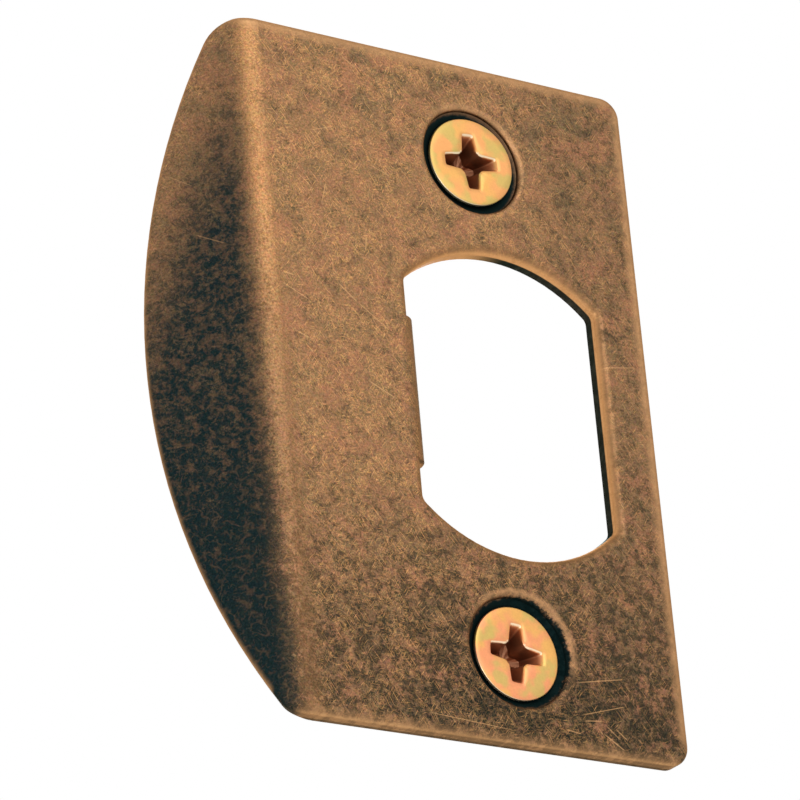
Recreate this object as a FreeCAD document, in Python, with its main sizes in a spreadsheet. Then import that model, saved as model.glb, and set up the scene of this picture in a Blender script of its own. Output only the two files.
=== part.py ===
import FreeCAD, Part
import Sketcher
import math
import os

# Door strike plate with a folded full lip and its two countersunk wood screws.
# Frame, in millimetres: X runs right across the face from the line of the screws,
# Y runs into the door jamb from the plate's back face, Z is up from mid height.

# Driving dimensions

sheet_thickness = 1.5  # steel sheet
plate_height = 57.15  # two and a quarter inches
right_reach = 15.05  # from the screw line to the square edge
face_width = 34.15  # from the start of the fold to the square edge
plate_corner = 1.7  # radius of the two square-edge corners
fold_inside = 1.2  # inside radius of the lip fold
fold_angle = 44  # lip folded back, degrees
lip_reach = 8.62  # end of the fold to the crown of the lip
lip_arc = 55.0  # radius of the lip's free edge
lip_crown = 1.48  # crown of the lip above mid height
lip_top_corner = 3.4  # blend of lip edge and top edge
lip_bottom_corner = 2.3  # blend of lip edge and bottom edge
edge_roll = 0.5  # rolled-over edge of the punched outline
pattern_drop = 0.6  # screws, latch hole and tang lie this far below mid height
hole_roll = 0.7  # rolled-over edge of the latch hole
latch_arc = 12.8  # radius of the round ends of the latch hole
latch_mid_x = 1.6  # middle of the latch hole from the screw line
latch_half_width = 8.9  # half the latch hole between its flats
latch_corner = 0.8  # corner of the latch hole
tang_half_height = 5.9  # half of the tang along the hole's side
tang_root = 0.93  # side of the latch hole to the start of the tang fold
tang_inside = 0.5  # inside radius of the tang fold
tang_depth = 4.0  # tang end behind the plate's back face
tang_tip = 1.6  # corner radius of the tang's end
screw_spacing = 41.275  # one and five eighths inches
sink_mouth = 4.4  # mouth radius of a countersink
sink_roll = 0.45  # rolled-over edge of a countersink
sink_land = 0.3  # height of the band that carries the head
upper_seat = 0.15  # upper head below the face
lower_seat = 0.42  # lower head below the face
head_radius = 3.75  # screw head
head_land = 0.25  # straight side of the head
head_break = 0.12  # broken edge of the head
head_slope = 41  # half of the head's included angle, degrees
shank_radius = 2.085  # number eight shank
core_radius = 1.5  # root of the thread
shank_end = 4.4  # head top to the end of the plain shank
runout_end = 5.1  # head top to the end of the thread runout
core_end = 9.4  # head top to the start of the point
screw_length = 12.7  # half an inch
point_radius = 0.15  # blunt of the point
recess_tip = 2.2  # half of the cross recess, tip to tip
recess_wing = 0.48  # half width of a recess wing at the top
recess_web = 0.68  # inner corner between two wings, from each centre line
recess_floor_tip = 0.8  # half of the recess at its floor
recess_floor_wing = 0.3  # half width of a wing at the floor
recess_floor_web = 0.33  # inner corner between two wings at the floor
recess_depth = 2.1  # depth of the cross recess
upper_turn = 3  # turn of the upper recess, degrees
lower_turn = -4  # turn of the lower recess, degrees

driving = {name: value for name, value in globals().items() if isinstance(value, (int, float))}

doc = FreeCAD.newDocument("DoorStrikePlate")
sheet = doc.addObject("Spreadsheet::Sheet", "Dimensions")
for row, (name, value) in enumerate(driving.items(), 1):
    sheet.set("A%d" % row, name.replace("_", " "))
    sheet.set("B%d" % row, str(value))
    sheet.setAlias("B%d" % row, name)
doc.recompute()
D = "Dimensions."

# Helpers

def vec(x, y, z=0.0):
    return FreeCAD.Vector(x, y, z)


def origin_plane(body, role):
    for item in body.Origin.OriginFeatures:
        if item.Role == role:
            return item
    raise RuntimeError("no plane " + role)


def new_body(name):
    body = doc.addObject("PartDesign::Body", name)
    body.Label = name
    return body


def new_sketch(body, name, role):
    sketch = body.newObject("Sketcher::SketchObject", name)
    sketch.AttachmentSupport = (origin_plane(body, role), [""])
    sketch.MapMode = "FlatFace"
    return sketch


def line(sketch, a, b):
    return sketch.addGeometry(Part.LineSegment(a, b), False)


def arc(sketch, centre, radius, start, end):
    circle = Part.Circle(centre, vec(0, 0, 1), radius)
    return sketch.addGeometry(Part.ArcOfCircle(circle, start, end), False)


def join(sketch, ends):
    for first, first_end, second, second_end in ends:
        sketch.addConstraint(Sketcher.Constraint("Coincident", first, first_end, second, second_end))


def pin(sketch, kind, geometry, point, alias_formula):
    """Hold a point at a signed distance from the sketch origin along one axis."""
    here = sketch.getPoint(geometry, point)
    start = here.x if kind == "DistanceX" else here.y
    index = sketch.addConstraint(Sketcher.Constraint(kind, -1, 1, geometry, point, start))
    sketch.setExpression("Constraints[%d]" % index, alias_formula)


def radius_of(sketch, geometry, alias_formula):
    start = sketch.Geometry[geometry].Radius
    index = sketch.addConstraint(Sketcher.Constraint("Radius", geometry, start))
    sketch.setExpression("Constraints[%d]" % index, alias_formula)


# The strike plate: one folded sheet

half = plate_height / 2
clear = 2 * sheet_thickness  # how far a cutting outline runs past the metal
cut_depth = 8 * sheet_thickness  # long enough to pass right through, either way
fold = math.radians(fold_angle)
fold_x = right_reach - face_width
fold_outside = fold_inside + sheet_thickness
lip_run = lip_reach + clear
along = vec(-math.cos(fold), math.sin(fold))

plate = new_body("strike_plate")
plate.Placement = FreeCAD.Placement()


def on_fold(radius):
    return vec(fold_x - radius * math.sin(fold), fold_inside - radius * math.cos(fold))


section = new_sketch(plate, "FoldedSection", "XY_Plane")
centre = vec(fold_x, fold_inside)
lip_outer = on_fold(fold_outside)
lip_inner = on_fold(fold_inside)
end_outer = lip_outer + along * lip_run
end_inner = lip_inner + along * lip_run
turn_start = math.radians(270) - fold
turn_end = math.radians(270)
front_line = line(section, vec(right_reach, -sheet_thickness), vec(fold_x, -sheet_thickness))
outer_bend = arc(section, centre, fold_outside, turn_start, turn_end)
lip_front = line(section, lip_outer, end_outer)
lip_end = line(section, end_outer, end_inner)
lip_back = line(section, end_inner, lip_inner)
inner_bend = arc(section, centre, fold_inside, turn_start, turn_end)
back_line = line(section, vec(fold_x, 0), vec(right_reach, 0))
square_end = line(section, vec(right_reach, 0), vec(right_reach, -sheet_thickness))
join(section, [
    (front_line, 2, outer_bend, 2),
    (outer_bend, 1, lip_front, 1),
    (lip_front, 2, lip_end, 1),
    (lip_end, 2, lip_back, 1),
    (lip_back, 2, inner_bend, 1),
    (inner_bend, 2, back_line, 1),
    (back_line, 2, square_end, 1),
    (square_end, 2, front_line, 1),
])
radius_of(section, inner_bend, D + "fold_inside")
radius_of(section, outer_bend, D + "fold_inside + " + D + "sheet_thickness")
pin(section, "DistanceX", square_end, 1, D + "right_reach")
doc.recompute()

folded = plate.newObject("PartDesign::Pad", "FoldedSheet")
folded.Profile = section
folded.Midplane = True
folded.setExpression("Length", D + "plate_height")
doc.recompute()

# The lip's free edge is cut square to the lip, as a flat blank folded afterwards has it

arc_mid = lip_arc - lip_reach


def lip_corner(side, corner):
    height = half - side * lip_crown - corner
    run = math.sqrt((lip_arc - corner) ** 2 - height ** 2)
    return arc_mid - run, math.atan2(height, run)


top_x, top_turn = lip_corner(1, lip_top_corner)
bottom_x, bottom_turn = lip_corner(-1, lip_bottom_corner)
far = -lip_run - clear
above = half + clear

trim = new_sketch(plate, "LipOutline", "XZ_Plane")
trim.AttachmentOffset = FreeCAD.Placement(
    vec(lip_outer.x, 0, -lip_outer.y),
    FreeCAD.Rotation(vec(0, -1, 0), math.degrees(fold)),
)
edge_mid = vec(arc_mid, lip_crown)
lip_edge = arc(trim, edge_mid, lip_arc, math.pi - top_turn, math.pi + bottom_turn)
top_mid = vec(top_x, half - lip_top_corner)
top_blend = arc(trim, top_mid, lip_top_corner, math.pi / 2, math.pi - top_turn)
bottom_mid = vec(bottom_x, lip_bottom_corner - half)
bottom_blend = arc(trim, bottom_mid, lip_bottom_corner, math.pi + bottom_turn, 1.5 * math.pi)
rise = line(trim, vec(top_x, half), vec(top_x, above))
roof = line(trim, vec(top_x, above), vec(far, above))
wall = line(trim, vec(far, above), vec(far, -above))
base = line(trim, vec(far, -above), vec(bottom_x, -above))
fall = line(trim, vec(bottom_x, -above), vec(bottom_x, -half))
join(trim, [
    (top_blend, 2, lip_edge, 1),
    (lip_edge, 2, bottom_blend, 1),
    (top_blend, 1, rise, 1),
    (rise, 2, roof, 1),
    (roof, 2, wall, 1),
    (wall, 2, base, 1),
    (base, 2, fall, 1),
    (fall, 2, bottom_blend, 2),
])
radius_of(trim, lip_edge, D + "lip_arc")
radius_of(trim, top_blend, D + "lip_top_corner")
radius_of(trim, bottom_blend, D + "lip_bottom_corner")
doc.recompute()

lip_cut = plate.newObject("PartDesign::Pocket", "LipCut")
lip_cut.Profile = trim
lip_cut.Type = "Length"
lip_cut.Midplane = True
lip_cut.Length = cut_depth
doc.recompute()

# Square-edge corners


def edges_where(shape, test):
    return ["Edge%d" % (i + 1) for i, edge in enumerate(shape.Edges) if test(edge)]


def near(a, b):
    return abs(a - b) < 1e-4


def is_plate_corner(edge):
    box = edge.BoundBox
    at_side = near(box.XMin, right_reach) and near(box.XMax, right_reach)
    at_end = near(abs(box.ZMin), half) and near(box.ZMin, box.ZMax)
    return at_side and at_end


corners = plate.newObject("PartDesign::Fillet", "PlateCorners")
corners.Base = (lip_cut, edges_where(lip_cut.Shape, is_plate_corner))
corners.setExpression("Radius", D + "plate_corner")
doc.recompute()

# The punched outline's front edge is rolled over


def is_front(face):
    low_u, high_u, low_v, high_v = face.ParameterRange
    middle = (low_u + high_u) / 2, (low_v + high_v) / 2
    point = face.valueAt(*middle)
    normal = face.normalAt(*middle)
    lip_normal = vec(-math.sin(fold), -math.cos(fold))
    from_lip = point - vec(lip_outer.x, lip_outer.y, 0)
    on_face = near(point.y, -sheet_thickness) and abs(normal.y) > 0.99
    on_lip = near(from_lip.dot(lip_normal), 0) and abs(normal.dot(lip_normal)) > 0.99
    from_centre = vec(point.x - fold_x, point.y - fold_inside)
    on_bend = near(from_centre.Length, fold_outside) and abs(normal.z) < 1e-6
    return on_face or on_lip or on_bend


def rim_of(shape, faces):
    """Names of the edges met by just one of the faces."""
    names = []
    for i, edge in enumerate(shape.Edges):
        count = sum(1 for face in faces for other in face.Edges if other.isSame(edge))
        if count == 1:
            names.append("Edge%d" % (i + 1))
    return names


front_faces = [face for face in corners.Shape.Faces if is_front(face)]
outline_roll = plate.newObject("PartDesign::Fillet", "OutlineRoll")
outline_roll.Base = (corners, rim_of(corners.Shape, front_faces))
outline_roll.setExpression("Radius", D + "edge_roll")
doc.recompute()

# Latch hole: a circle cut off by two flats

hole_z = -pattern_drop
soft_z = math.sqrt((latch_arc - latch_corner) ** 2 - (latch_half_width - latch_corner) ** 2)
soft_turn = math.atan2(soft_z, latch_half_width - latch_corner)

latch = new_sketch(plate, "LatchOutline", "XZ_Plane")
middle = vec(latch_mid_x, hole_z)
flat_x = vec(latch_half_width, 0)
flat_z = vec(0, soft_z)
corner_x = vec(latch_half_width - latch_corner, 0)
top_arc = arc(latch, middle, latch_arc, soft_turn, math.pi - soft_turn)
low_arc = arc(latch, middle, latch_arc, math.pi + soft_turn, 2 * math.pi - soft_turn)
right_flat = line(latch, middle + flat_x - flat_z, middle + flat_x + flat_z)
left_flat = line(latch, middle - flat_x + flat_z, middle - flat_x - flat_z)
corner_a = arc(latch, middle + corner_x + flat_z, latch_corner, 0, soft_turn)
corner_b = arc(latch, middle - corner_x + flat_z, latch_corner, math.pi - soft_turn, math.pi)
corner_c = arc(latch, middle - corner_x - flat_z, latch_corner, math.pi, math.pi + soft_turn)
corner_d = arc(latch, middle + corner_x - flat_z, latch_corner, 2 * math.pi - soft_turn, 2 * math.pi)
join(latch, [
    (right_flat, 2, corner_a, 1),
    (corner_a, 2, top_arc, 1),
    (top_arc, 2, corner_b, 1),
    (corner_b, 2, left_flat, 1),
    (left_flat, 2, corner_c, 1),
    (corner_c, 2, low_arc, 1),
    (low_arc, 2, corner_d, 1),
    (corner_d, 2, right_flat, 1),
])
radius_of(latch, top_arc, D + "latch_arc")
radius_of(latch, low_arc, D + "latch_arc")
pin(latch, "DistanceX", right_flat, 1, D + "latch_mid_x + " + D + "latch_half_width")
doc.recompute()

latch_hole = plate.newObject("PartDesign::Pocket", "LatchHole")
latch_hole.Profile = latch
latch_hole.Type = "Length"
latch_hole.Midplane = True
latch_hole.Length = cut_depth
doc.recompute()


def is_hole_front(edge):
    box = edge.BoundBox
    flat = near(box.YMin, -sheet_thickness) and near(box.YMax, -sheet_thickness)
    across = max(abs(box.XMin - latch_mid_x), abs(box.XMax - latch_mid_x))
    high = max(abs(box.ZMin - hole_z), abs(box.ZMax - hole_z))
    return flat and across < latch_half_width + clear / 2 and high < latch_arc + clear / 2


latch_roll = plate.newObject("PartDesign::Fillet", "LatchRoll")
latch_roll.Base = (latch_hole, edges_where(latch_hole.Shape, is_hole_front))
latch_roll.setExpression("Radius", D + "hole_roll")
doc.recompute()

# The tang on the lip side of the latch hole, folded back into the jamb

tang_x = latch_mid_x - latch_half_width - tang_root
tang_out = tang_inside + sheet_thickness
tang_high = hole_z + tang_half_height
tang_low = hole_z - tang_half_height

window = new_sketch(plate, "TangWindow", "XZ_Plane")
side_x = latch_mid_x - latch_half_width + clear
window_a = line(window, vec(tang_x, tang_low), vec(side_x, tang_low))
window_b = line(window, vec(side_x, tang_low), vec(side_x, tang_high))
window_c = line(window, vec(side_x, tang_high), vec(tang_x, tang_high))
window_d = line(window, vec(tang_x, tang_high), vec(tang_x, tang_low))
join(window, [
    (window_a, 2, window_b, 1),
    (window_b, 2, window_c, 1),
    (window_c, 2, window_d, 1),
    (window_d, 2, window_a, 1),
])
doc.recompute()
window_cut = plate.newObject("PartDesign::Pocket", "TangWindowCut")
window_cut.Profile = window
window_cut.Type = "Length"
window_cut.Midplane = True
window_cut.Length = cut_depth
doc.recompute()

hook = new_sketch(plate, "TangSection", "XY_Plane")
hook.AttachmentOffset = FreeCAD.Placement(vec(0, 0, tang_low), FreeCAD.Rotation())
hook.setExpression("AttachmentOffset.Base.z", "-%spattern_drop - %stang_half_height" % (D, D))
hook_centre = vec(tang_x, tang_inside)
hook_bend = arc(hook, hook_centre, tang_out, 1.5 * math.pi, 2 * math.pi)
hook_outer = line(hook, vec(tang_x + tang_out, tang_inside), vec(tang_x + tang_out, tang_depth))
hook_end = line(hook, vec(tang_x + tang_out, tang_depth), vec(tang_x + tang_inside, tang_depth))
hook_inner = line(hook, vec(tang_x + tang_inside, tang_depth), vec(tang_x + tang_inside, tang_inside))
hook_crook = arc(hook, hook_centre, tang_inside, 1.5 * math.pi, 2 * math.pi)
hook_root = line(hook, vec(tang_x, 0), vec(tang_x, -sheet_thickness))
join(hook, [
    (hook_bend, 2, hook_outer, 1),
    (hook_outer, 2, hook_end, 1),
    (hook_end, 2, hook_inner, 1),
    (hook_inner, 2, hook_crook, 2),
    (hook_crook, 1, hook_root, 1),
    (hook_root, 2, hook_bend, 1),
])
radius_of(hook, hook_crook, D + "tang_inside")
doc.recompute()
tang = plate.newObject("PartDesign::Pad", "Tang")
tang.Profile = hook
tang.setExpression("Length", "2 * " + D + "tang_half_height")
doc.recompute()


def is_tang_corner(edge):
    box = edge.BoundBox
    at_end = near(box.YMin, tang_depth) and near(box.YMax, tang_depth)
    at_side = near(box.ZMin, box.ZMax) and (near(box.ZMin, tang_high) or near(box.ZMin, tang_low))
    return at_end and at_side


tang_end = plate.newObject("PartDesign::Fillet", "TangEnd")
tang_end.Base = (tang, edges_where(tang.Shape, is_tang_corner))
tang_end.setExpression("Radius", D + "tang_tip")
doc.recompute()

# Countersinks, each with a band that the head of its screw bears on

slope = math.tan(math.radians(head_slope))


def screw_height(side):
    return side * screw_spacing / 2 - pattern_drop


def screw_height_formula(side):
    return "%d * %sscrew_spacing / 2 - %spattern_drop" % (side, D, D)


def countersink(name, side, seat):
    sketch = new_sketch(plate, name + "Section", "XY_Plane")
    sketch.AttachmentOffset = FreeCAD.Placement(vec(0, 0, screw_height(side)), FreeCAD.Rotation())
    sketch.setExpression("AttachmentOffset.Base.z", screw_height_formula(side))
    at_back = head_radius - (sheet_thickness - seat - head_land) * slope
    at_band = at_back + sink_land * slope
    rim = sink_mouth + sink_roll
    ahead = -sheet_thickness - clear
    lip = arc(sketch, vec(rim, sink_roll - sheet_thickness), sink_roll, math.pi, 1.5 * math.pi)
    flare = line(sketch, vec(sink_mouth, sink_roll - sheet_thickness), vec(at_band, -sink_land))
    bearing = line(sketch, vec(at_band, -sink_land), vec(at_back, 0))
    through = line(sketch, vec(at_back, 0), vec(at_back, clear))
    floor = line(sketch, vec(at_back, clear), vec(0, clear))
    axis_side = line(sketch, vec(0, clear), vec(0, ahead))
    ceiling = line(sketch, vec(0, ahead), vec(rim, ahead))
    edge = line(sketch, vec(rim, ahead), vec(rim, -sheet_thickness))
    join(sketch, [
        (lip, 1, flare, 1),
        (flare, 2, bearing, 1),
        (bearing, 2, through, 1),
        (through, 2, floor, 1),
        (floor, 2, axis_side, 1),
        (axis_side, 2, ceiling, 1),
        (ceiling, 2, edge, 1),
        (edge, 2, lip, 2),
    ])
    radius_of(sketch, lip, D + "sink_roll")
    doc.recompute()
    groove = plate.newObject("PartDesign::Groove", name)
    groove.Profile = sketch
    groove.ReferenceAxis = (sketch, ["V_Axis"])
    groove.Angle = 360
    doc.recompute()
    return groove


countersink("UpperCountersink", 1, upper_seat)
last_sink = countersink("LowerCountersink", -1, lower_seat)
plate.Tip = last_sink
doc.recompute()

# A number eight flat-head wood screw with a cross recess, head top at its own origin


def recess_sketch(body, name, depth_formula, depth, tip, web, wing):
    sketch = new_sketch(body, name, "XZ_Plane")
    sketch.AttachmentOffset = FreeCAD.Placement(vec(0, 0, -depth), FreeCAD.Rotation())
    sketch.setExpression("AttachmentOffset.Base.z", depth_formula)
    corners = []
    for quarter in range(4):
        turn = FreeCAD.Rotation(vec(0, 0, 1), 90 * quarter)
        for x, y in ((tip, -wing), (tip, wing), (web, web)):
            corners.append(turn.multVec(vec(x, y)))
    sides = []
    for i, corner in enumerate(corners):
        sides.append(line(sketch, corner, corners[(i + 1) % len(corners)]))
    join(sketch, [(sides[i], 2, sides[(i + 1) % len(sides)], 1) for i in range(len(sides))])
    return sketch


def wood_screw(name):
    body = new_body(name)
    sketch = new_sketch(body, name + "Section", "XY_Plane")
    neck = head_land + (head_radius - shank_radius) / slope
    profile = [
        vec(0, 0),
        vec(head_radius - head_break, 0),
        vec(head_radius, head_break),
        vec(head_radius, head_land),
        vec(shank_radius, neck),
        vec(shank_radius, shank_end),
        vec(core_radius, runout_end),
        vec(core_radius, core_end),
        vec(point_radius, screw_length - point_radius / 2),
        vec(0, screw_length),
    ]
    sides = []
    for i, corner in enumerate(profile):
        sides.append(line(sketch, corner, profile[(i + 1) % len(profile)]))
    join(sketch, [(sides[i], 2, sides[(i + 1) % len(sides)], 1) for i in range(len(sides))])
    pin(sketch, "DistanceX", sides[4], 1, D + "shank_radius")
    pin(sketch, "DistanceY", sides[9], 1, D + "screw_length")
    doc.recompute()
    turned = body.newObject("PartDesign::Revolution", name + "Turned")
    turned.Profile = sketch
    turned.ReferenceAxis = (sketch, ["V_Axis"])
    turned.Angle = 360
    doc.recompute()
    top = recess_sketch(
        body, name + "RecessTop", "0", 0,
        recess_tip, recess_web, recess_wing,
    )
    floor = recess_sketch(
        body, name + "RecessFloor", "-" + D + "recess_depth", recess_depth,
        recess_floor_tip, recess_floor_web, recess_floor_wing,
    )
    doc.recompute()
    recess = body.newObject("PartDesign::SubtractiveLoft", name + "Recess")
    recess.Profile = top
    recess.Sections = [floor]
    recess.Ruled = True
    doc.recompute()
    body.Tip = recess
    return body


upper_screw = wood_screw("UpperScrew")
lower_screw = wood_screw("LowerScrew")


def seat_screw(body, side, seat, turn):
    body.Placement = FreeCAD.Placement(
        vec(0, driving[seat] - sheet_thickness, screw_height(side)),
        FreeCAD.Rotation(vec(0, 1, 0), driving[turn]),
    )
    body.setExpression("Placement.Base.y", "%s%s - %ssheet_thickness" % (D, seat, D))
    body.setExpression("Placement.Base.z", screw_height_formula(side))


seat_screw(upper_screw, 1, "upper_seat", "upper_turn")
seat_screw(lower_screw, -1, "lower_seat", "lower_turn")
doc.recompute()

screws = doc.addObject("Part::Compound", "mounting_screws")
screws.Label = "mounting_screws"
screws.Links = [upper_screw, lower_screw]
doc.recompute()

# Nothing is written unless every object is sound

for item in doc.Objects:
    if "Invalid" in item.State or "Error" in item.State:
        raise RuntimeError("%s has state %s" % (item.Label, item.State))
for item in (plate, upper_screw, lower_screw, screws):
    if item.Shape.isNull() or not item.Shape.isValid():
        raise RuntimeError("%s has no valid shape" % item.Label)
if len(plate.Shape.Solids) != 1 or len(screws.Shape.Solids) != 2:
    raise RuntimeError("the plate must be one solid and the screws two")

os.makedirs("parts", exist_ok=True)
plate.Shape.exportStep("parts/strike_plate.step")
screws.Shape.exportStep("parts/mounting_screws.step")
for item in (plate, screws):
    box = item.Shape.BoundBox
    print(item.Label, len(item.Shape.Faces), "faces", round(item.Shape.Volume, 2), "mm3", box)
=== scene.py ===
import math
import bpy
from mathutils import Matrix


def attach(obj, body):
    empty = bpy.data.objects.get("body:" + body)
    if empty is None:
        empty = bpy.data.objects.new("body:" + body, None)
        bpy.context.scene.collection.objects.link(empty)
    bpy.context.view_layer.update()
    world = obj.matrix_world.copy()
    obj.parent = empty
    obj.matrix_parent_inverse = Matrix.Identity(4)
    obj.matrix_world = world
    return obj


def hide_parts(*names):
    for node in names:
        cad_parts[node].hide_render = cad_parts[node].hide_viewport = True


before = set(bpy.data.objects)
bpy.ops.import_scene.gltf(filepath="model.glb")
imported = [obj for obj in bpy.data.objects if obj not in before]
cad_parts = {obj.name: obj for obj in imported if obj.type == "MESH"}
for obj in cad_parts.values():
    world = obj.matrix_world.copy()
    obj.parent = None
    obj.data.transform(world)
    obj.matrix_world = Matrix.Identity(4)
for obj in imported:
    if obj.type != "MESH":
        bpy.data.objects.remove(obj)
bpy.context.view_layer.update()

from types import SimpleNamespace

import bmesh
import bpy
from mathutils import Matrix, Vector

# Sizes in millimetres, in the frame of the part: X right across the face, Y into the jamb, Z up

MM = 0.001

# The plate
SHEET = 1.5
HALF_HEIGHT = 28.575
RIGHT_EDGE = 15.05
FOLD_START = -19.1
FOLD_INSIDE = 1.2
FOLD_OUTSIDE = FOLD_INSIDE + SHEET
FOLD_ANGLE = math.radians(44)
FOLD_RUN = FOLD_OUTSIDE * FOLD_ANGLE
LIP_REACH = 8.62
LIP_ARC = 55.0
LIP_CROWN = 1.48
PATTERN_Z = -0.6
LATCH_X = 1.6
LATCH_ARC = 12.8
LATCH_HALF_WIDTH = 8.9
TANG_MIDDLE = -8.4
SCREW_Z = 41.275 / 2

# The screws, with depths below the head's top
HEAD_RADIUS = 3.75
HEAD_LAND = 0.25
HEAD_BREAK = 0.12
HEAD_SLOPE = math.radians(41)
SHANK_RADIUS = 2.085
CORE_RADIUS = 1.5
SHANK_END = 4.4
RUNOUT_END = 5.1
CORE_END = 9.4
SCREW_LENGTH = 12.7
THREAD_PITCH = 1.7
THREAD_RINGS = 130
POINT_RADIUS = 0.02

# How deep each head sits below the face, how far it is turned, and the upper one's slope
UPPER_SEAT = 0.20
LOWER_SEAT = 0.42
UPPER_TURN = math.radians(3)
LOWER_TURN = math.radians(-4)
UPPER_LEAN = 0.05

# The cross recess at three levels: reach, half width of a wing, inner corner, tip's radius
RECESS_FLOOR = (1.45, 0.34, 0.52, 0.14)
RECESS_WALL = (2.30, 0.48, 0.80, 0.18)
RECESS_MOUTH = (2.44, 0.60, 0.95, 0.22)
RECESS_BOTTOM = 2.3
RECESS_HOLLOW = 2.05
RECESS_FLOOR_DEPTH = 1.9
RECESS_WALL_DEPTH = 0.12
RECESS_EDGE_DEPTH = 0.04

# The parts of an eighth of the cross where its tip, rounding and straight side end
EIGHTH_POINTS = 18
TIP_END = 0.15
ROUNDING_END = 0.40
SIDE_END = 0.62

# The camera, fitted to the photograph at the plate's real height
IMAGE_SIDE = 800
AIM = Vector((-8.92, -1.5, -2.08)) * MM
CAMERA_DISTANCE = 361.07 * MM
CAMERA_AZIMUTH = math.radians(34.73)
CAMERA_RISE = math.radians(23.69)
CAMERA_ROLL = math.radians(-5.016)
FOCAL_PIXELS = 4771.4
SENSOR_WIDTH = 36.0

# Stage and light, in metres and watts
FLOOR_DROP = 0.6
FLOOR_SIDE = 12.0
FLOOR_GLOW = 0.45
SKY_LIGHT = 0.55
SKY_SEEN = 1.0
LAMP_SIZE = 0.8
LAMPS = (
    # name, direction from the part, distance, power
    ("key", (0.02, -0.91, 0.41), 0.9, 2.0),
    ("fill", (-0.6, -0.6, -0.4), 1.2, 4.0),
    ("back", (0.5, 0.8, 0.5), 1.2, 4.0),
)


def rgb(red, green, blue):
    """A colour written as it looks on the screen, 0 to 255, as the linear colour of a shader."""
    def linear(level):
        level /= 255.0
        return level / 12.92 if level <= 0.04045 else ((level + 0.055) / 1.055) ** 2.4

    return linear(red), linear(green), linear(blue), 1.0


def grey(level):
    return level, level, level, 1.0


# Colours of the bronzed steel; a pair runs from the first to the second

GROUND = rgb(138, 104, 74), rgb(100, 78, 59)
WARM_GROUND = rgb(152, 104, 78)
# The lip's ground, darkened as painted shade
LIP_GROUND = rgb(82, 66, 52)
OLIVE_GROUND = rgb(106, 90, 66)
PIT = rgb(96, 78, 58), rgb(24, 36, 33)
# The pits on the lip, darkened as painted shade
LIP_PIT = rgb(13, 38, 41)
STAIN = rgb(62, 58, 46)
SCRATCH = rgb(216, 160, 102), rgb(158, 120, 82)
BROAD_SCRATCH = rgb(232, 174, 112)
LIP_SCRATCH = rgb(98, 76, 58)
# The scratches on the lip, darkened as painted shade
LONG_SCRATCH = rgb(216, 168, 116)
# The fold's painted highlight band, and its duller lower part
BAND = rgb(154, 109, 68), rgb(204, 149, 96)
LOW_BAND = rgb(116, 86, 62)
RUBBED = rgb(172, 130, 90), rgb(196, 149, 104)
CREST = rgb(222, 172, 118)
# Painted highlight on the hole's rolled edge
HOLE_ROLL = rgb(158, 116, 76), rgb(232, 172, 112)
# Painted shade under the tang's fold
TANG_ROLL = rgb(66, 54, 44)
# Painted shade on the hole's far walls
HOLE_WALL = rgb(8, 27, 29), rgb(40, 46, 42)
END_WALL = rgb(44, 40, 33), rgb(100, 80, 60)
# A rubbed ring round each countersink, partly a painted highlight
MOUTH_RING = rgb(206, 156, 110)
CONE_SHADE = rgb(72, 55, 43)
# Painted shadow in the gap between a screw head and its countersink
MOUTH_BLACK = rgb(16, 38, 39)
BRONZE_TINT = (0.75, 0.62, 0.50, 1.0)
# Dark tint of the reflections on the hole's far walls, part of their painted shade
WALL_TINT = (0.20, 0.40, 0.42, 1.0)

# Colours of the yellow zinc

GOLDEN = rgb(232, 174, 98)
PINK = rgb(238, 156, 108)
GREENISH = rgb(198, 178, 100)
# Painted shade in the screws' recesses, darker with depth
RECESS = rgb(200, 140, 100), rgb(144, 98, 72)
GLINT = rgb(255, 236, 200)

# The long scratches: both ends on the face as X and Z, and the width

LONG_MARKS = (
    ((-11.7, -0.9), (-9.3, -2.0), 0.09),
    ((7.0, -26.9), (8.9, -28.1), 0.08),
    ((8.2, -26.4), (9.2, -27.2), 0.08),
    ((7.3, -26.2), (8.6, -27.3), 0.05),
    ((5.3, -26.1), (7.1, -25.9), 0.07),
    ((3.5, -27.0), (5.0, -27.2), 0.08),
    ((5.0, -25.7), (9.5, -24.4), 0.06),
    ((4.8, -23.1), (9.6, -22.2), 0.06),
    ((-9.0, -27.2), (-1.0, -27.7), 0.05),
    ((10.4, 4.0), (14.0, 4.6), 0.05),
    ((-13.7, 6.9), (-12.0, 5.5), 0.08),
    ((-12.1, 5.6), (-9.2, 3.6), 0.05),
    ((-18.4, 6.9), (-17.6, 6.8), 0.08),
    ((-18.7, 6.0), (-16.3, 4.9), 0.06),
    ((-14.0, 15.4), (-14.6, 13.4), 0.06),
    ((-14.1, 11.4), (-14.6, 10.3), 0.08),
    ((-10.7, 11.4), (-10.9, 10.1), 0.07),
    ((-17.9, 2.2), (-16.6, 1.7), 0.07),
    ((-11.6, 26.8), (-10.4, 26.0), 0.06),
    ((-7.3, 24.9), (-7.2, 24.0), 0.09),
    ((-15.1, 19.6), (-12.8, 20.4), 0.05),
    ((-16.6, 15.7), (-15.4, 14.7), 0.05),
    ((-9.8, 17.7), (-7.9, 17.0), 0.05),
    ((-25.2, 15.8), (-23.8, 14.6), 0.05),
    ((-24.0, 10.6), (-22.2, 9.4), 0.05),
)


class Value:
    """What a node gives out. Signs between two values, or a value and a number, make nodes."""

    def __init__(self, net, socket):
        self.net = net
        self.socket = socket

    def __add__(self, other):
        return self.net.math("ADD", self, other)

    def __radd__(self, other):
        return self.net.math("ADD", other, self)

    def __sub__(self, other):
        return self.net.math("SUBTRACT", self, other)

    def __rsub__(self, other):
        return self.net.math("SUBTRACT", other, self)

    def __mul__(self, other):
        return self.net.math("MULTIPLY", self, other)

    def __neg__(self):
        return self * -1.0

    def __abs__(self):
        return self.net.math("ABSOLUTE", self)


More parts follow.
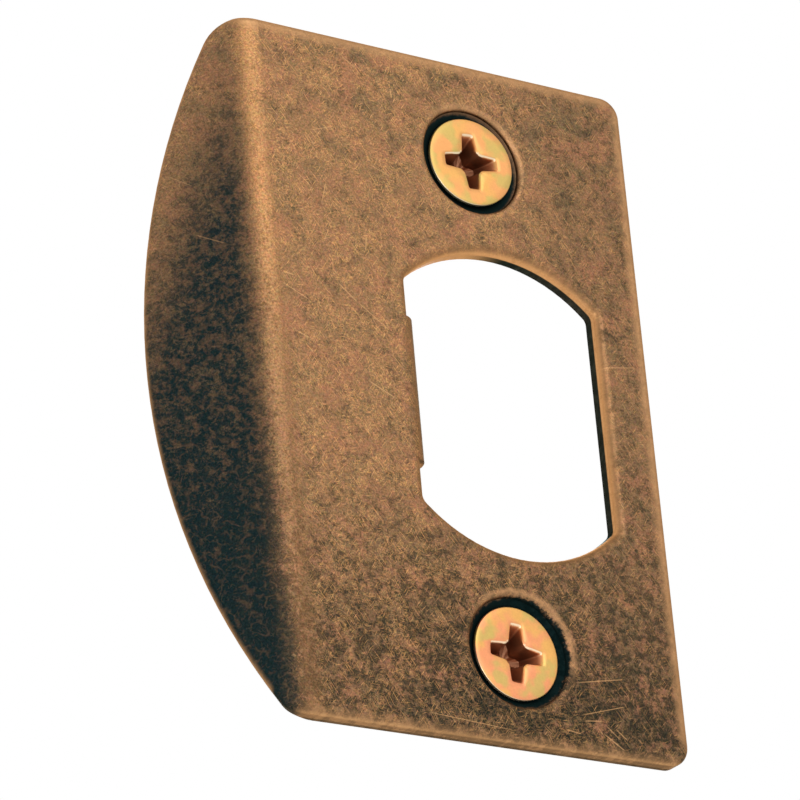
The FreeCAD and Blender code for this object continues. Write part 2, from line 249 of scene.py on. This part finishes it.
class Net:
    """Short calls that build one material's node tree."""

    def __init__(self, name):
        self.material = bpy.data.materials.new(name)
        self.material.use_nodes = True
        self.tree = self.material.node_tree
        self.tree.nodes.clear()
        output = self.new("ShaderNodeOutputMaterial")
        self.shader = self.new("ShaderNodeBsdfPrincipled")
        self.tree.links.new(self.shader.outputs[0], output.inputs["Surface"])

    def new(self, kind):
        return self.tree.nodes.new(kind)

    def feed(self, socket, value):
        """A socket takes another node's output or a plain value."""
        if isinstance(value, Value):
            value = value.socket
        if isinstance(value, bpy.types.NodeSocket):
            self.tree.links.new(value, socket)
        else:
            socket.default_value = value

    def result(self, node, values, output=0):
        """The node's output once its first inputs have these values."""
        for socket, value in zip(node.inputs, values):
            self.feed(socket, value)
        return Value(self, node.outputs[output])

    def math(self, operation, *values):
        node = self.new("ShaderNodeMath")
        node.operation = operation
        return self.result(node, values)

    def lesser(self, a, b):
        return self.math("MINIMUM", a, b)

    def greater(self, a, b):
        return self.math("MAXIMUM", a, b)

    def length(self, a, b):
        return self.math("SQRT", a * a + b * b)

    def ease(self, value, low, high, out_low=0.0, out_high=1.0):
        """Smooth step from out_low at low to out_high at high."""
        if isinstance(low, float) and isinstance(high, float) and low > high:
            low, high, out_low, out_high = high, low, out_high, out_low
        node = self.new("ShaderNodeMapRange")
        node.interpolation_type = "SMOOTHSTEP"
        return self.result(node, (value, low, high, out_low, out_high))

    def bell(self, value, middle, spread):
        """One at the middle, nothing further away than the spread."""
        return self.ease(abs(value - middle), spread, 0.0)

    def blend(self, factor, first, second, mode="MIX"):
        node = self.new("ShaderNodeMix")
        node.data_type = "RGBA"
        node.blend_type = mode
        self.feed(node.inputs["Factor"], factor)
        self.feed(node.inputs[6], first)
        self.feed(node.inputs[7], second)
        return Value(self, node.outputs[2])

    def multiply(self, colour, factor):
        return self.blend(1.0, colour, factor, "MULTIPLY")

    def vector(self, operation, a, b):
        node = self.new("ShaderNodeVectorMath")
        node.operation = operation
        return self.result(node, (a, b))

    def moved(self, place, shift):
        return self.vector("ADD", place, shift)

    def combine(self, x, y, z=0.0):
        return self.result(self.new("ShaderNodeCombineXYZ"), (x, y, z))

    def split(self, vector):
        node = self.new("ShaderNodeSeparateXYZ")
        self.feed(node.inputs[0], vector)
        return [Value(self, socket) for socket in node.outputs]

    def noise(self, vector, scale, detail=2.0, roughness=0.5, flat=True, output="Fac"):
        """Cloudy noise, 0 to 1 around 0.5, the same at every depth when flat."""
        node = self.new("ShaderNodeTexNoise")
        node.noise_dimensions = "2D" if flat else "3D"
        self.feed(node.inputs["Vector"], vector)
        node.inputs["Scale"].default_value = scale
        node.inputs["Detail"].default_value = detail
        node.inputs["Roughness"].default_value = roughness
        return Value(self, node.outputs[output])

    def cells(self, vector, scale):
        """Distance to a cell's middle and the cell's own random number."""
        node = self.new("ShaderNodeTexVoronoi")
        node.voronoi_dimensions = "2D"
        self.feed(node.inputs["Vector"], vector)
        node.inputs["Scale"].default_value = scale
        return Value(self, node.outputs["Distance"]), self.split(node.outputs["Color"])[0]

    def slanted(self, vector, angle, stretch, shift):
        """The same place shifted, turned in its plane and squeezed along one axis."""
        node = self.new("ShaderNodeMapping")
        self.feed(node.inputs["Vector"], vector)
        node.inputs["Location"].default_value = shift
        node.inputs["Rotation"].default_value = (0.0, 0.0, angle)
        return self.vector("MULTIPLY", node.outputs[0], (stretch, 1.0, 1.0))

    def bump(self, height, strength, distance):
        node = self.new("ShaderNodeBump")
        node.inputs["Strength"].default_value = strength
        node.inputs["Distance"].default_value = distance
        self.feed(node.inputs["Height"], height)
        return Value(self, node.outputs[0])

    def finish(self, **inputs):
        """Sets the shader's inputs, Base_Color for the one named Base Color."""
        for name, value in inputs.items():
            self.feed(self.shader.inputs[name.replace("_", " ")], value)
        return self.material


def place_in_millimetres(net):
    coordinates = net.new("ShaderNodeTexCoord").outputs["Object"]
    return net.vector("MULTIPLY", coordinates, (1 / MM, 1 / MM, 1 / MM))


def greatest(net, values):
    total = values[0]
    for value in values[1:]:
        total = net.greater(total, value)
    return total


def hairs(net, place, turns, width, length, keep, seed):
    """Fine scratches in several directions, each one stretched cell of a cell pattern."""
    marks = []
    for number in range(turns):
        angle = math.pi * (number + 0.45 * math.sin(seed + 3.1 * number)) / turns
        longer = length * (1.0 + 0.45 * math.sin(1.7 * number + seed))
        shift = (7.3 * number + seed, 5.7 * number - seed, 0.0)
        spot = net.slanted(place, angle, width / longer, shift)
        distance, chance = net.cells(spot, 1 / width)
        kept = net.ease(chance, 1 - keep, 1.0)
        marks.append(net.ease(distance, 0.34, 0.05) * kept)
    return greatest(net, marks)


def threads(net, place, scale, width, seed):
    """Curly threads that follow the level lines of a noise, broken up by another."""
    spot = net.moved(place, (13.7 * seed, -9.1 * seed, 0.0))
    line = net.ease(abs(net.noise(spot, scale, 1.0) - 0.5), width, 0.0)
    gaps = net.noise(net.moved(spot, (31.0, 17.0, 0.0)), scale * 1.3, 1.0)
    return line * net.ease(gaps, 0.42, 0.58)


def stroke(net, x, z, start, end, width):
    """One long scratch between two points of the face."""
    (x0, z0), (x1, z1) = start, end
    span = math.hypot(x1 - x0, z1 - z0)
    ux, uz = (x1 - x0) / span, (z1 - z0) / span
    dx, dz = x - x0, z - z0
    along = dx * ux + dz * uz
    across = dx * uz - dz * ux
    near = net.ease(abs(across), width, 0.0)
    return near * net.ease(abs(along - span / 2), span / 2, span / 3)


# Bronzed steel. Each step adds to `at`, which holds what is known of a place on the plate


def find_place(net, at):
    """The bent sheet unrolled, and how far a place is from each edge, in millimetres."""
    at.x, at.y, at.z = net.split(place_in_millimetres(net))

    # turn is the slope of the outer face, depth is measured below that face, and s runs
    # along it from the start of the fold, positive on the face
    from_x = at.x - FOLD_START
    from_y = at.y - FOLD_INSIDE
    turn = net.math("ARCTAN2", -from_x, -from_y)
    turn = net.lesser(net.greater(turn, 0.0), FOLD_ANGLE)
    sine, cosine = net.math("SINE", turn), net.math("COSINE", turn)
    at.depth = FOLD_OUTSIDE + (from_x * sine + from_y * cosine)
    at.s = (from_x * cosine - from_y * sine) - turn * FOLD_OUTSIDE
    at.past_fold = -FOLD_RUN - at.s
    at.sheet = net.combine(at.s, at.z, at.depth)
    drift = net.noise(at.sheet, 0.6, 1.0, output="Color")
    at.wander = net.moved(at.sheet, net.vector("MULTIPLY", drift, (0.35, 0.35, 0.0)))

    to_sides = net.lesser(RIGHT_EDGE - at.x, net.lesser(HALF_HEIGHT - at.z, HALF_HEIGHT + at.z))
    lip_run = at.past_fold + (LIP_ARC - LIP_REACH)
    to_lip = LIP_ARC - net.length(lip_run, at.z - LIP_CROWN)
    at.outline = net.lesser(to_sides, to_lip)
    at.across = at.x - LATCH_X
    at.above = at.z - PATTERN_Z
    past_flat = abs(at.across) - LATCH_HALF_WIDTH
    at.to_hole = net.greater(past_flat, net.length(at.across, at.above) - LATCH_ARC)


def find_tones(net, at):
    """Large soft changes of tone: soil low on the face and painted shade towards the right,
    painted shade on the lip, a painted highlight on the fold.
    """
    drifted = (net.noise(at.sheet, 0.14, 2.0) - 0.5) * 2.0
    low = net.ease(at.z + drifted * 6.0, 1.0, -26.0)
    # Painted shade: the face darker towards the right, less so low down
    rightward = net.ease(at.x, -8.0, 13.0) * (1.0 - low * 0.95)
    low_weight = 0.71 + net.bell(at.x, -2.0, 15.0) * 0.20
    at.top = net.ease(at.z, 13.0, 26.0) * net.ease(at.x, -17.0, -12.0)
    at.soil = low * low_weight + rightward * 0.30 + at.top * 0.10 + drifted * 0.20
    at.tone = net.ease(at.soil, 0.0, 1.0)

    # The painted highlight band and the painted shade beside it lean a little across the fold from
    # top to bottom
    slide = (at.s - 0.2) + at.z * 0.023
    past_slide = -FOLD_RUN - slide
    at.band = net.ease(slide, 1.1, -0.7) * net.ease(slide, -2.1, -0.8)
    at.on_lip = net.ease(past_slide + drifted * 0.6, -1.70, 1.5)
    # Painted shade on the lip, darkest low down and near the fold, with a faint dark streak beside
    # the fold at the top
    lip_slope = at.z + (at.past_fold * 2.15 - 4.5) + drifted * 3.0
    lip_fall = net.ease(lip_slope, 30.5, 9.3)
    streak = net.bell(past_slide, 0.4, 1.8) * net.ease(at.z, 28.0, 22.0, 0.0, 0.3)
    at.lip_dark = net.greater(at.on_lip * (0.02 + lip_fall * 0.98), streak)
    at.lip_low = at.on_lip * net.ease(at.z, -7.0, -17.0)


def ground_colour(net, at):
    """Brown with warm, olive and, on the lip, darker parts painted as shade."""
    warm = net.noise(net.moved(at.sheet, (40.0, -25.0, 0.0)), 0.3, 2.0, 0.6)
    blotch = net.noise(at.wander, 0.45, 2.0, 0.5)
    olive = net.ease(blotch, 0.42, 0.66) * (0.42 + at.top * 0.35)
    ground = net.blend(at.tone, *GROUND)
    ground = net.blend(net.ease(warm, 0.42, 0.66, 0.0, 0.55), ground, WARM_GROUND)
    ground = net.blend(at.lip_dark, ground, LIP_GROUND)
    return net.blend(olive, ground, OLIVE_GROUND)


def add_pits(net, at, colour):
    """Dark pits, from soft spots on the upper face to a teal black net on the lip, darkened there
    as painted shade, and stains.
    """
    at.mottle = net.noise(at.wander, 0.9, 2.0, 0.5)
    at.pores = net.noise(at.wander, 2.1, 4.0, 0.80, False)
    level = at.pores * 0.68 + at.mottle * 0.32
    gate = 0.60 - (at.soil * 0.155 + at.lip_dark * 0.11) - at.lip_low * 0.04
    at.pits = net.ease(level - gate, -0.065 + at.on_lip * -0.035, 0.055)
    pit_colour = net.blend(at.lip_dark, net.blend(at.tone, *PIT), LIP_PIT)
    weight = 0.62 + net.greater(at.tone, at.lip_dark) * 0.33
    weight = weight * net.ease(at.depth, 1.1, 1.45, 1.0, 0.7)
    colour = net.blend(at.pits * weight, colour, pit_colour)

    # Greenish stains a few millimetres wide, as grainy as the rest
    stain = net.noise(net.moved(at.wander, (5.0, 60.0, 0.0)), 0.62, 3.0, 0.62)
    weight = net.ease(stain, 0.52, 0.68) * net.ease(at.pores, 0.38, 0.60, 0.25, 1.0)
    weight = weight * ((0.55 + at.tone * 0.3) - at.on_lip * 0.55)
    return net.blend(weight, colour, STAIN)


def add_scratches(net, at, colour):
    """Light scratches: straight and curly ones on the face, a net of curls on the lip."""
    thick = net.noise(at.sheet, 0.42, 2.0)
    worn = stroke(net, at.x, at.z, (-17.6, -16.0), (-8.2, -23.0), 1.8)
    worn = worn * net.ease(at.mottle, 0.40, 0.56)
    fine = hairs(net, at.wander, 7, 0.075, 0.8, 0.52, 2.0) * net.ease(at.x, 1.0, 10.0, 1.0, 0.38)
    fine = fine * (net.ease(thick, 0.36, 0.62, 0.35, 0.9) + worn * 0.6)
    loops = net.greater(
        threads(net, at.wander, 0.75, 0.016, 7.0), threads(net, at.wander, 1.3, 0.022, 11.0)
    )
    broad = hairs(net, at.wander, 5, 0.085, 2.2, 0.17, 5.0)
    broad = net.greater(broad, loops * net.ease(thick, 0.36, 0.62, 0.20, 0.65))
    broad = broad * net.ease(at.x, 2.0, 11.0, 1.0, 0.7)
    curls = net.greater(
        threads(net, at.wander, 0.9, 0.09, 1.0), threads(net, at.wander, 1.9, 0.08, 3.0) * 0.7
    )

    # The face's scratches fade on the lip, the band, the sheared walls and the tang
    smooth = greatest(net, (
        at.lip_dark * 0.75,
        at.band * net.ease(at.z, 16.0, 0.0, 0.15, 0.6),
        net.bell(at.depth, 0.75, 0.6),
        net.ease(at.depth, 1.52, 1.65),
    ))
    at.scratch = net.greater(fine, broad) * (1.0 - smooth)
    at.scratch = net.greater(at.scratch, curls * (at.lip_dark * 0.75))
    scratch_colour = net.blend(at.tone * 0.6, *SCRATCH)
    scratch_colour = net.blend(broad * 0.6, scratch_colour, BROAD_SCRATCH)
    # On the lip the scratches are darkened as painted shade
    scratch_colour = net.blend(at.lip_dark, scratch_colour, LIP_SCRATCH)
    return net.blend(at.scratch * (0.85 - at.lip_dark * 0.25), colour, scratch_colour)


def add_band_and_grain(net, at, colour):
    """The fold's painted highlight band, duller lower down, and over all of it a grain of light,
    dark and tint.
    """
    brushed = net.noise(net.combine(at.s * 4.0, at.z * 0.9), 1.2, 3.0, 0.6)
    band_colour = net.blend(brushed, *BAND)
    band_colour = net.blend(net.ease(at.z, 14.0, -6.0, 0.0, 0.66), band_colour, LOW_BAND)
    colour = net.blend(at.band * 0.50, colour, band_colour)

    at.grain = net.noise(at.sheet, 6.0, 2.0, 0.7, False)
    speck = net.ease(at.grain, 0.25, 0.75, 0.66, 1.34)
    colour = net.multiply(colour, net.combine(speck, speck, speck))
    tinted = net.noise(at.sheet, 3.8, 3.0, 0.7, False, "Color")
    tinted = net.vector("MULTIPLY", tinted, (0.72, 0.46, 0.66))
    return net.multiply(colour, net.vector("ADD", tinted, (0.64, 0.77, 0.67)))


def add_edges(net, at, colour):
    """Rubbed edges, a painted highlight on the hole's rolled edge and painted shade under the
    tang's fold, then the dark broken part of the walls below the rolled edge, painted as shade on
    the hole's far side.
    """
    rag = (net.noise(at.sheet, 1.3, 3.0, 0.6, False) - 0.5) * 0.9
    bottom = net.ease(at.z, -26.4, -27.2)
    ragged = (at.outline + rag * (1.0 - at.on_lip * 0.8)) + bottom * 0.45
    narrow = net.ease(ragged + at.on_lip * 0.50, 1.35 - at.on_lip * 0.4, 0.35)
    rubbed = net.blend(net.ease(at.pores, 0.35, 0.65), *RUBBED)
    colour = net.blend(narrow * (0.8 - bottom * at.pits * 0.35), colour, rubbed)
    crest = narrow * net.bell(at.depth, 0.32, 0.26) * 0.4
    colour = net.blend(crest, colour, CREST)

    # The tang's fold lies in the line of the hole's side, and is painted dull and dark below as
    # shade
    tang = net.bell(at.across, TANG_MIDDLE, 2.2) * net.ease(abs(at.above), 6.4, 5.9)
    tang = net.ease(tang, 0.0, 0.4)
    # Painted highlight on the hole's rolled edge, lighter deeper on the roll, weaker on the tang
    hole_rim = net.ease(at.to_hole + rag * 0.3, 0.9, 0.0) * (1.0 - tang * 0.8)
    roll_colour = net.blend(net.ease(at.depth, 0.10, 0.45), *HOLE_ROLL)
    colour = net.blend(hole_rim * 0.7, colour, roll_colour)
    # Painted shade under the tang's fold
    colour = net.blend(tang * net.bell(at.depth, 0.8, 0.75) * 0.85, colour, TANG_ROLL)

    torn = net.noise(net.combine(at.s * 2.0, at.y, at.z), 1.6, 3.0, 0.6, False)
    # Painted shade on the hole's far walls, over the torn texture of their broken part
    on_wall = net.ease(at.to_hole, 0.10, 0.02) * net.ease(at.depth, 0.70, 0.82)
    far_side = net.greater(net.ease(at.x, -1.5, 3.0), net.ease(at.z, 2.0, 0.0))
    at.hole_wall = on_wall * far_side * (1.0 - tang)
    wall_colour = net.blend(net.ease(torn, 0.4, 0.7), *HOLE_WALL)
    colour = net.blend(at.hole_wall * 0.96, colour, wall_colour)
    end_wall = net.ease(at.outline, 0.10, 0.02) * net.ease(at.depth + torn * 0.3, 1.16, 1.34)
    end_colour = net.blend(net.ease(torn, 0.35, 0.65), *END_WALL)
    return net.blend(end_wall * 0.8, colour, end_colour)


def add_countersinks(net, at, colour):
    """Painted shadow inside the mouth, a rubbed ring round its upper right partly painted as a
    highlight, and painted shade down the cone.
    """
    upper = net.ease(at.z, -1.0, 1.0)
    lower = 1.0 - upper
    sink_z = at.above - (upper * (2 * SCREW_Z) - SCREW_Z)
    rag = (net.noise(at.sheet, 1.8, 3.0, 0.7, False) - 0.5) * 0.6

    # The burr, its painted shadow and its ring sit a little off the screw's axis
    burr_x = at.x - (lower * 0.34 - 0.14)
    burr_z = sink_z - (lower * 0.26 - 0.16)
    from_mouth = (net.length(burr_x, burr_z) + rag * (0.5 + lower)) + 0.20
    # A rubbed ring round the mouth, with a painted highlight on its lit upper right
    lit_side = net.ease(at.x * 0.5 + sink_z, 0.0, 4.0)
    ring = net.bell(from_mouth, 4.95, 0.5) * (0.10 + lit_side * 0.62)
    ring = ring * net.ease(at.depth, 0.9, 0.5) * net.ease(at.pores, 0.35, 0.6, 0.35, 1.0)
    colour = net.blend(ring, colour, MOUTH_RING)

    front = net.ease(at.depth, 1.45, 1.20)
    shade = net.ease(net.length(at.x, sink_z), 4.62, 4.30)
    # Painted shadow in the gap between the head and the countersink's mouth
    at.mouth = net.ease(from_mouth, 4.66, 4.44) * front
    colour = net.blend(shade * front * 0.8, colour, CONE_SHADE)
    return net.blend(at.mouth * 0.97, colour, MOUTH_BLACK)


def add_long_marks(net, at, colour):
    marks = greatest(net, [stroke(net, at.x, at.z, *mark) for mark in LONG_MARKS])
    weight = marks * (net.ease(at.depth, 0.5, 0.2) * 0.75) * (1.0 - at.on_lip * 0.5)
    return net.blend(weight * 0.8, colour, LONG_SCRATCH)


def bronzed_steel():
    """Antique bronze finish on steel: brown ground, dark pits, light scratches, rubbed edges."""
    net = Net("bronzed_steel")
    at = SimpleNamespace()
    find_place(net, at)
    find_tones(net, at)
    colour = ground_colour(net, at)
    for step in (
        add_pits, add_scratches, add_band_and_grain, add_edges, add_countersinks, add_long_marks
    ):
        colour = step(net, at, colour)
    height = at.pits * -0.5 + (at.scratch * 0.30 + at.grain * 0.25)
    return net.finish(
        Base_Color=colour,
        Metallic=1.0,
        Specular_Tint=net.blend(at.hole_wall, BRONZE_TINT, WALL_TINT),
        Roughness=(0.40 + at.pits * 0.18) + at.mouth * 0.3,
        Normal=net.bump(height, 0.35, 0.05 * MM),
    )


def yellow_zinc():
    """Yellow zinc plate on steel, golden with faint green and pink patches."""
    net = Net("yellow_zinc")
    place = place_in_millimetres(net)
    x, y, z = net.split(place)
    upper = net.ease(z, -1.0, 1.0)
    seat = LOWER_SEAT + upper * (UPPER_SEAT - LOWER_SEAT)
    depth = ((y + SHEET) - seat) + upper * UPPER_LEAN * x
    from_axis = net.length(x, abs(z - PATTERN_Z) - SCREW_Z)

    clouds = net.noise(place, 0.55, 2.0, 0.5, False)
    pinkness = net.ease(clouds, 0.32, 0.56) * (1.0 - upper * 0.55)
    patches = net.noise(net.moved(place, (9.0, 3.0, 5.0)), 0.5, 2.0, 0.5, False)
    greenness = net.ease(patches + upper * 0.05, 0.52, 0.66, 0.0, 0.75)
    colour = net.blend(greenness, net.blend(pinkness, GOLDEN, PINK), GREENISH)
    fine = net.noise(place, 7.0, 3.0, 0.6, False)
    colour = net.multiply(colour, net.blend(fine, grey(0.86), grey(1.12)))

    # Painted shade in the cross recess, darker with depth. The recess narrows downwards, so the
    # same numbers leave the shank out
    recess = net.ease(depth, 0.06, 0.35) * net.ease(from_axis + depth * 0.5, 2.72, 2.5)
    colour = net.blend(recess, colour, net.blend(net.ease(depth, 0.2, 1.5), *RECESS))

    # Glints on the recess's upper edges and on the lower left of the rim
    across, _, upward = net.split(net.new("ShaderNodeTexCoord").outputs["Normal"])
    edge_light = net.ease(upward, -0.2, -0.5) * net.ease(depth, 0.22, 0.12)
    rim_side = net.ease(across * -0.6 - upward, 0.35, 0.9)
    rim_light = rim_side * net.ease(from_axis, HEAD_RADIUS - 0.2, HEAD_RADIUS - 0.06)
    glint = net.greater(edge_light * net.ease(from_axis, 2.6, 2.4), rim_light)
    colour = net.blend(glint * 0.8, colour, GLINT)

    dim = 1.0 - upper * 0.10
    return net.finish(
        Base_Color=net.multiply(colour, net.combine(dim, dim, dim)),
        Metallic=0.9,
        Roughness=0.26 + fine * 0.16,
        Normal=net.bump(fine, 0.15, 0.02 * MM),
    )


def dress(node, material):
    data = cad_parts[node].data
    data.materials.clear()
    data.materials.append(material)


# The two screws: head with its cross recess, shank, thread and gimlet point


def curve_point(a, b, c, part):
    """A point of the curve that leaves a towards b and ends at c."""
    return tuple(
        (1 - part) ** 2 * p + 2 * part * (1 - part) * q + part ** 2 * r for p, q, r in zip(a, b, c)
    )


def cross_outline(tip, wing, web, tip_corner):
    """A cross with rounded tips and inner corners, as points that turn about its middle."""
    shoulder = (web + 0.55, wing + 0.10)
    diagonal = (web, web)
    bend = (web + 0.06, wing + 0.13)
    start = tip - tip_corner
    eighth = []
    for step in range(EIGHTH_POINTS):
        part = step / EIGHTH_POINTS
        if part < TIP_END:
            eighth.append((tip, (wing - tip_corner) * part / TIP_END))
        elif part < ROUNDING_END:
            angle = (part - TIP_END) / (ROUNDING_END - TIP_END) * math.pi / 2
            reach = start + tip_corner * math.cos(angle)
            eighth.append((reach, wing - tip_corner + tip_corner * math.sin(angle)))
        elif part < SIDE_END:
            run = (part - ROUNDING_END) / (SIDE_END - ROUNDING_END)
            eighth.append((start + (shoulder[0] - start) * run, wing + (shoulder[1] - wing) * run))
        else:
            run = (part - SIDE_END) / (1 - SIDE_END)
            eighth.append(curve_point(shoulder, bend, diagonal, run))
    wedge = eighth + [diagonal] + [(b, a) for a, b in reversed(eighth[1:])]
    points = []
    for c, s in ((1, 0), (0, 1), (-1, 0), (0, -1)):
        points += [(a * c - b * s, a * s + b * c) for a, b in wedge]
    return points


def ring_of(radius, count):
    step = 2 * math.pi / count
    return [(radius * math.cos(step * i), radius * math.sin(step * i)) for i in range(count)]


def mixed(first, second, part):
    return [(a + (c - a) * part, b + (d - b) * part) for (a, b), (c, d) in zip(first, second)]


def thread_ring(depth, count):
    """The outline of the threaded part at one depth below the head's top."""
    if depth < RUNOUT_END:
        run = (depth - SHANK_END) / (RUNOUT_END - SHANK_END)
        core, crest = SHANK_RADIUS + (CORE_RADIUS - SHANK_RADIUS) * run, SHANK_RADIUS
    elif depth < CORE_END:
        core, crest = CORE_RADIUS, SHANK_RADIUS
    else:
        run = (depth - CORE_END) / (SCREW_LENGTH - CORE_END)
        core = CORE_RADIUS * (1 - run) ** 0.9
        crest = core + (SHANK_RADIUS - CORE_RADIUS) * max(0.0, 1 - run * 1.08)
    outline = []
    for i in range(count):
        angle = 2 * math.pi * i / count
        away = abs((depth / THREAD_PITCH - angle / (2 * math.pi)) % 1.0 - 0.5) * 2
        ridge = min(1.0, max(0.0, (0.42 - away) / 0.34))
        radius = core + (crest - core) * ridge
        outline.append((radius * math.cos(angle), radius * math.sin(angle)))
    return outline


def screw_rings():
    """Rings of one screw from the bottom of its recess to its point: depth and outline."""
    floor = cross_outline(*RECESS_FLOOR)
    wall = cross_outline(*RECESS_WALL)
    mouth = cross_outline(*RECESS_MOUTH)
    count = len(mouth)
    middle = mixed([(0.0, 0.0)] * count, floor, 0.02)
    rings = [(RECESS_BOTTOM, middle), (RECESS_HOLLOW, mixed(middle, floor, 0.7))]
    for part in (0.0, 0.2, 0.4, 0.6, 0.8, 1.0):
        depth = RECESS_FLOOR_DEPTH + (RECESS_WALL_DEPTH - RECESS_FLOOR_DEPTH) * part
        rings.append((depth, mixed(floor, wall, part)))
    rings.append((RECESS_EDGE_DEPTH, mixed(wall, mouth, 0.5)))
    rings.append((0.0, mouth))
    top = ring_of(HEAD_RADIUS - HEAD_BREAK, count)
    for part in (0.25, 0.5, 0.75, 1.0):
        rings.append((0.0, mixed(mouth, top, part)))
    for part in (1 / 3, 2 / 3, 1.0):
        angle = part * math.pi / 2
        radius = HEAD_RADIUS - HEAD_BREAK * (1 - math.sin(angle))
        rings.append((HEAD_BREAK * (1 - math.cos(angle)), ring_of(radius, count)))
    rings.append((HEAD_LAND, ring_of(HEAD_RADIUS, count)))
    cone = (HEAD_RADIUS - SHANK_RADIUS) / math.tan(HEAD_SLOPE)
    rings.append((HEAD_LAND + cone, ring_of(SHANK_RADIUS, count)))
    rings.append((SHANK_END, ring_of(SHANK_RADIUS, count)))
    for step in range(1, THREAD_RINGS):
        depth = SHANK_END + (SCREW_LENGTH - SHANK_END) * step / THREAD_RINGS
        rings.append((depth, thread_ring(depth, count)))
    rings.append((SCREW_LENGTH, ring_of(POINT_RADIUS, count)))
    return rings


def add_screw(build, rings, centre_z, seat, turn, lean):
    rows = []
    for depth, outline in rings:
        row = []
        for a, b in outline:
            across = a * math.cos(turn) - b * math.sin(turn)
            upward = a * math.sin(turn) + b * math.cos(turn)
            # The head stands a little askew, the shank straight
            tilt = lean * across * max(0.0, 1 - depth / SHANK_END)
            spot = Vector((across, seat - SHEET + depth - tilt, centre_z + upward))
            row.append(build.verts.new(spot * MM))
        rows.append(row)
    count = len(rows[0])
    for inner, outer in zip(rows, rows[1:]):
        for i in range(count):
            j = (i + 1) % count
            build.faces.new((inner[i], inner[j], outer[j], outer[i]))
    build.faces.new(list(reversed(rows[0])))
    build.faces.new(rows[-1])


def make_screws():
    build = bmesh.new()
    rings = screw_rings()
    add_screw(build, rings, PATTERN_Z + SCREW_Z, UPPER_SEAT, UPPER_TURN, UPPER_LEAN)
    add_screw(build, rings, PATTERN_Z - SCREW_Z, LOWER_SEAT, LOWER_TURN, 0.0)
    bmesh.ops.recalc_face_normals(build, faces=build.faces)
    mesh = bpy.data.meshes.new("wood_screws")
    build.to_mesh(mesh)
    build.free()
    mesh.polygons.foreach_set("use_smooth", [True] * len(mesh.polygons))
    mesh.set_sharp_from_angle(angle=math.radians(35))
    mesh.materials.append(yellow_zinc())
    piece = bpy.data.objects.new("wood_screws", mesh)
    bpy.context.scene.collection.objects.link(piece)
    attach(piece, "root")
    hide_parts("mounting_screws")


# Stage, light and camera


def seen_directly(tree):
    """One for a ray from the camera or by way of a mirror or glass, nothing for soft light."""
    path = tree.nodes.new("ShaderNodeLightPath")
    total = path.outputs["Is Camera Ray"]
    for kind in ("Is Glossy Ray", "Is Transmission Ray"):
        either = tree.nodes.new("ShaderNodeMath")
        either.operation = "MAXIMUM"
        tree.links.new(total, either.inputs[0])
        tree.links.new(path.outputs[kind], either.inputs[1])
        total = either.outputs[0]
    return total


def make_world():
    """A soft white sky that is seen as plain white."""
    world = bpy.data.worlds.new("studio")
    world.use_nodes = True
    tree = world.node_tree
    tree.nodes.clear()
    choose = tree.nodes.new("ShaderNodeMixShader")
    tree.links.new(seen_directly(tree), choose.inputs[0])
    for socket, strength in zip(choose.inputs[1:], (SKY_LIGHT, SKY_SEEN)):
        sky = tree.nodes.new("ShaderNodeBackground")
        sky.inputs["Color"].default_value = grey(1.0)
        sky.inputs["Strength"].default_value = strength
        tree.links.new(sky.outputs[0], socket)
    output = tree.nodes.new("ShaderNodeOutputWorld")
    tree.links.new(choose.outputs[0], output.inputs["Surface"])
    bpy.context.scene.world = world


def make_floor():
    bpy.ops.mesh.primitive_plane_add(size=FLOOR_SIDE, location=(0, 0, -FLOOR_DROP))
    floor = bpy.context.object
    floor.name = "floor"
    net = Net("pale_floor")
    speckle = net.noise(place_in_millimetres(net), 0.02, 2.0)
    floor.data.materials.append(net.finish(
        Base_Color=net.blend(speckle, grey(0.84), grey(0.88)),
        Roughness=0.9,
        Emission_Color=grey(1.0),
        Emission_Strength=net.math("MULTIPLY", seen_directly(net.tree), FLOOR_GLOW),
    ))


def make_lamp(name, direction, distance, power):
    data = bpy.data.lights.new(name, "AREA")
    data.shape = "DISK"
    data.size = LAMP_SIZE
    data.energy = power
    lamp = bpy.data.objects.new(name, data)
    bpy.context.scene.collection.objects.link(lamp)
    toward = Vector(direction).normalized()
    lamp.location = toward * distance
    lamp.rotation_euler = toward.to_track_quat("Z", "Y").to_euler()


def make_camera():
    scene = bpy.context.scene
    data = bpy.data.cameras.new("camera")
    camera = bpy.data.objects.new("camera", data)
    scene.collection.objects.link(camera)
    forward = Vector((
        math.sin(CAMERA_AZIMUTH) * math.cos(CAMERA_RISE),
        math.cos(CAMERA_AZIMUTH) * math.cos(CAMERA_RISE),
        math.sin(CAMERA_RISE),
    ))
    level = forward.cross(Vector((0, 0, 1))).normalized()
    upright = level.cross(forward)
    right = level * math.cos(CAMERA_ROLL) + upright * math.sin(CAMERA_ROLL)
    up = right.cross(forward)
    turn = Matrix((right, up, -forward)).transposed()
    camera.matrix_world = Matrix.Translation(AIM - forward * CAMERA_DISTANCE) @ turn.to_4x4()
    data.sensor_width = SENSOR_WIDTH
    data.lens = FOCAL_PIXELS / IMAGE_SIDE * SENSOR_WIDTH
    data.clip_start = 0.01
    data.clip_end = 50.0
    scene.camera = camera


dress("strike_plate", bronzed_steel())
make_screws()
make_world()
make_floor()
for lamp_values in LAMPS:
    make_lamp(*lamp_values)
make_camera()
bpy.context.scene.view_settings.view_transform = "Standard"
